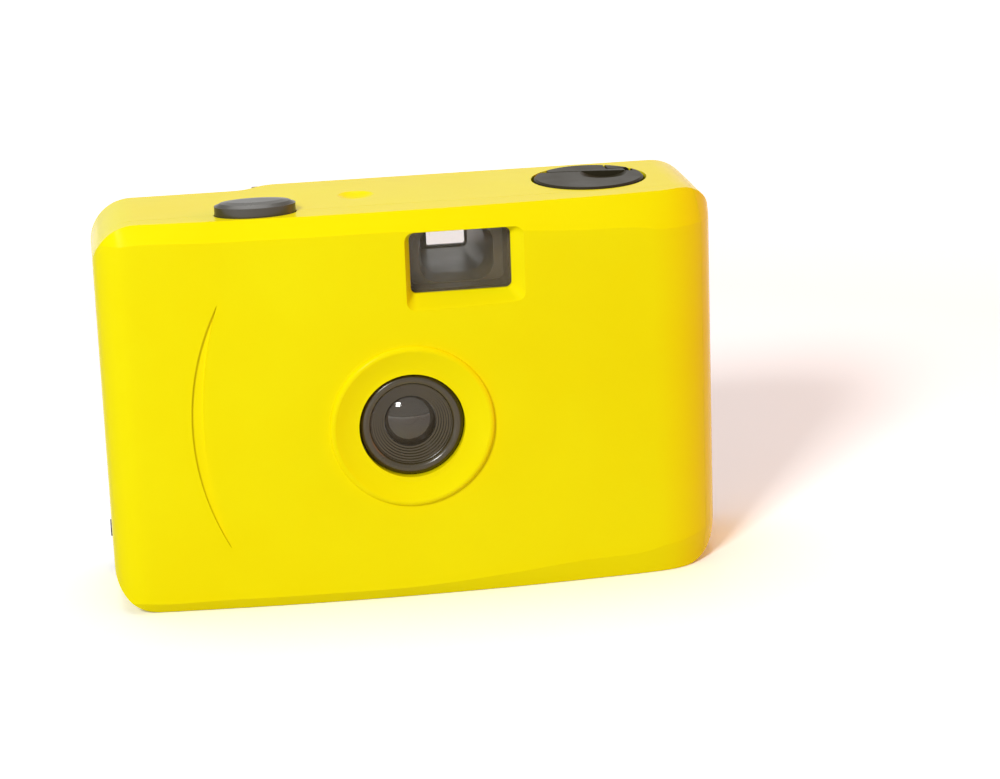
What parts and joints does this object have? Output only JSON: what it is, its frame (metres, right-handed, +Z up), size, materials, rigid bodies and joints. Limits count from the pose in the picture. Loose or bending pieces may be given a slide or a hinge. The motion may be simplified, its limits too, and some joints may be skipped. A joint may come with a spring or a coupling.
{
  "type": "reusable 35 mm film camera",
  "caption": "Compact fixed-lens 35 mm film camera with bowed front, round lens ring, viewfinder, shutter button, thumbwheel wind, rewind crank and hinged back.",
  "frame": {"origin": "centre of the flat base of the case", "axes": "+X to the right seen from the front, -Y towards the lens side, +Z up"},
  "size_m": [0.1022, 0.0346, 0.0671],
  "materials": {
    "case_yellow": "smooth gloss",
    "black_plastic": "satin",
    "inner_plastic": "matt",
    "dial_plastic": "satin",
    "steel": "plain",
    "clear": "polished",
    "foam": "felt"
  },
  "bodies": {
    "case": {"front_cover": "case_yellow", "body_shell": "case_yellow", "rear_top_cover": "black_plastic", "lens_bezel": "black_plastic", "strap_lug": "steel", "chassis": "inner_plastic", "lens_retainer": "inner_plastic", "viewfinder_tunnel": "inner_plastic", "door_hinge_pin": "steel", "aperture_plate": "steel", "shutter_plate": "steel", "pivot_pins": "steel", "shutter_screws": "steel", "striker_spring": "steel", "blade_spring": "steel", "button_spring": "steel", "thumbwheel_axle": "steel", "release_spring": "steel", "case_screws": "steel", "rear_screws": "steel", "taking_lens": "clear", "viewfinder_front_lens": "clear", "eyepiece_lens": "clear"},
    "door": {"back_door": "black_plastic", "light_seals": "foam", "pressure_spring": "steel"},
    "latch": {"door_latch": "black_plastic"},
    "plate": {"pressure_plate": "steel"},
    "button": {"shutter_button": "black_plastic"},
    "release_rocker": {"release_lever": "steel"},
    "striker": {"striker_lever": "steel"},
    "blade": {"shutter_blade": "steel"},
    "wheel": {"thumbwheel": "black_plastic"},
    "spool": {"takeup_spool": "inner_plastic", "spool_gear": "inner_plastic"},
    "sprocket": {"sprocket_wheel": "inner_plastic"},
    "counter": {"counter_dial": "dial_plastic"},
    "stop": {"stop_lever": "steel"},
    "rewind_carrier": {"rewind_clip": "steel"},
    "knob": {"rewind_knob": "black_plastic", "crank_pin": "steel"},
    "crank": {"rewind_crank": "black_plastic"},
    "release_button": {"rewind_release": "black_plastic"}
  },
  "joints": [
    {"name": "door_hinge", "type": "hinge", "parent": "case", "child": "door", "pos_m": [-0.0492, 0.01035, 0], "axis": [0, 0, 1], "range_deg": [0, 95]},
    {"name": "latch_slide", "type": "slide", "parent": "door", "child": "latch", "axis": [0, 0, 1], "range_m": [0, 0.003]},
    {"name": "pressure_slide", "type": "slide", "parent": "door", "child": "plate", "axis": [0, 1, 0], "range_m": [0, 0.0006], "stiffness_N_per_m": 300, "deforming": ["pressure_spring"]},
    {"name": "shutter_press", "type": "slide", "parent": "case", "child": "button", "axis": [0, 0, -1], "range_m": [0, 0.0015], "stiffness_N_per_m": 300, "deforming": ["button_spring"]},
    {"name": "release_rock", "type": "hinge", "parent": "case", "child": "release_rocker", "pos_m": [-0.0155, -0.0096, 0.047], "axis": [0, -1, 0], "range_deg": [0, 10.3]},
    {"name": "striker_swing", "type": "hinge", "parent": "case", "child": "striker", "pos_m": [-0.0125, -0.00845, 0.036], "axis": [0, -1, 0], "range_deg": [0, 25]},
    {"name": "blade_swing", "type": "hinge", "parent": "case", "child": "blade", "pos_m": [-0.0095, -0.00935, 0.0245], "axis": [0, 1, 0], "range_deg": [0, 36]},
    {"name": "thumbwheel_spin", "type": "hinge", "parent": "case", "child": "wheel", "pos_m": [-0.0383, 0.00808, 0], "axis": [0, 0, -1], "continuous": true},
    {"name": "takeup_spin", "type": "hinge", "parent": "case", "child": "spool", "pos_m": [-0.0389, -0.0039, 0], "axis": [0, 0, 1], "continuous": true},
    {"name": "sprocket_spin", "type": "hinge", "parent": "case", "child": "sprocket", "pos_m": [-0.027, 0.00595, 0], "axis": [0, 0, 1], "continuous": true},
    {"name": "counter_spin", "type": "hinge", "parent": "case", "child": "counter", "pos_m": [-0.0214, 0.00945, 0], "axis": [0, 0, -1], "continuous": true},
    {"name": "stop_swing", "type": "hinge", "parent": "case", "child": "stop", "pos_m": [-0.0209, -0.0013, 0], "axis": [0, 0, 1], "range_deg": [0, 10]},
    {"name": "rewind_lift", "type": "slide", "parent": "case", "child": "rewind_carrier", "axis": [0, 0, 1], "range_m": [0, 0.0047]},
    {"name": "rewind_spin", "type": "hinge", "parent": "rewind_carrier", "child": "knob", "pos_m": [0.0316, 0.0009, 0], "axis": [0, 0, 1], "continuous": true},
    {"name": "crank_fold", "type": "hinge", "parent": "knob", "child": "crank", "pos_m": [0.0379, 0.0009, 0.06445], "axis": [0, 1, 0], "range_deg": [0, 120]},
    {"name": "rewind_release_press", "type": "slide", "parent": "case", "child": "release_button", "axis": [0, 0, 1], "range_m": [0, 0.001], "stiffness_N_per_m": 200, "deforming": ["release_spring"]}
  ],
  "couplings": [
    {"joint": "release_rock", "follows": "shutter_press", "rad_per_m": 119},
    {"joint": "blade_swing", "follows": "striker_swing", "ratio": 1.44},
    {"joint": "takeup_spin", "follows": "thumbwheel_spin", "ratio": 1},
    {"joint": "sprocket_spin", "follows": "thumbwheel_spin", "ratio": 0.6614},
    {"joint": "counter_spin", "follows": "thumbwheel_spin", "ratio": 0.02756}
  ]
}
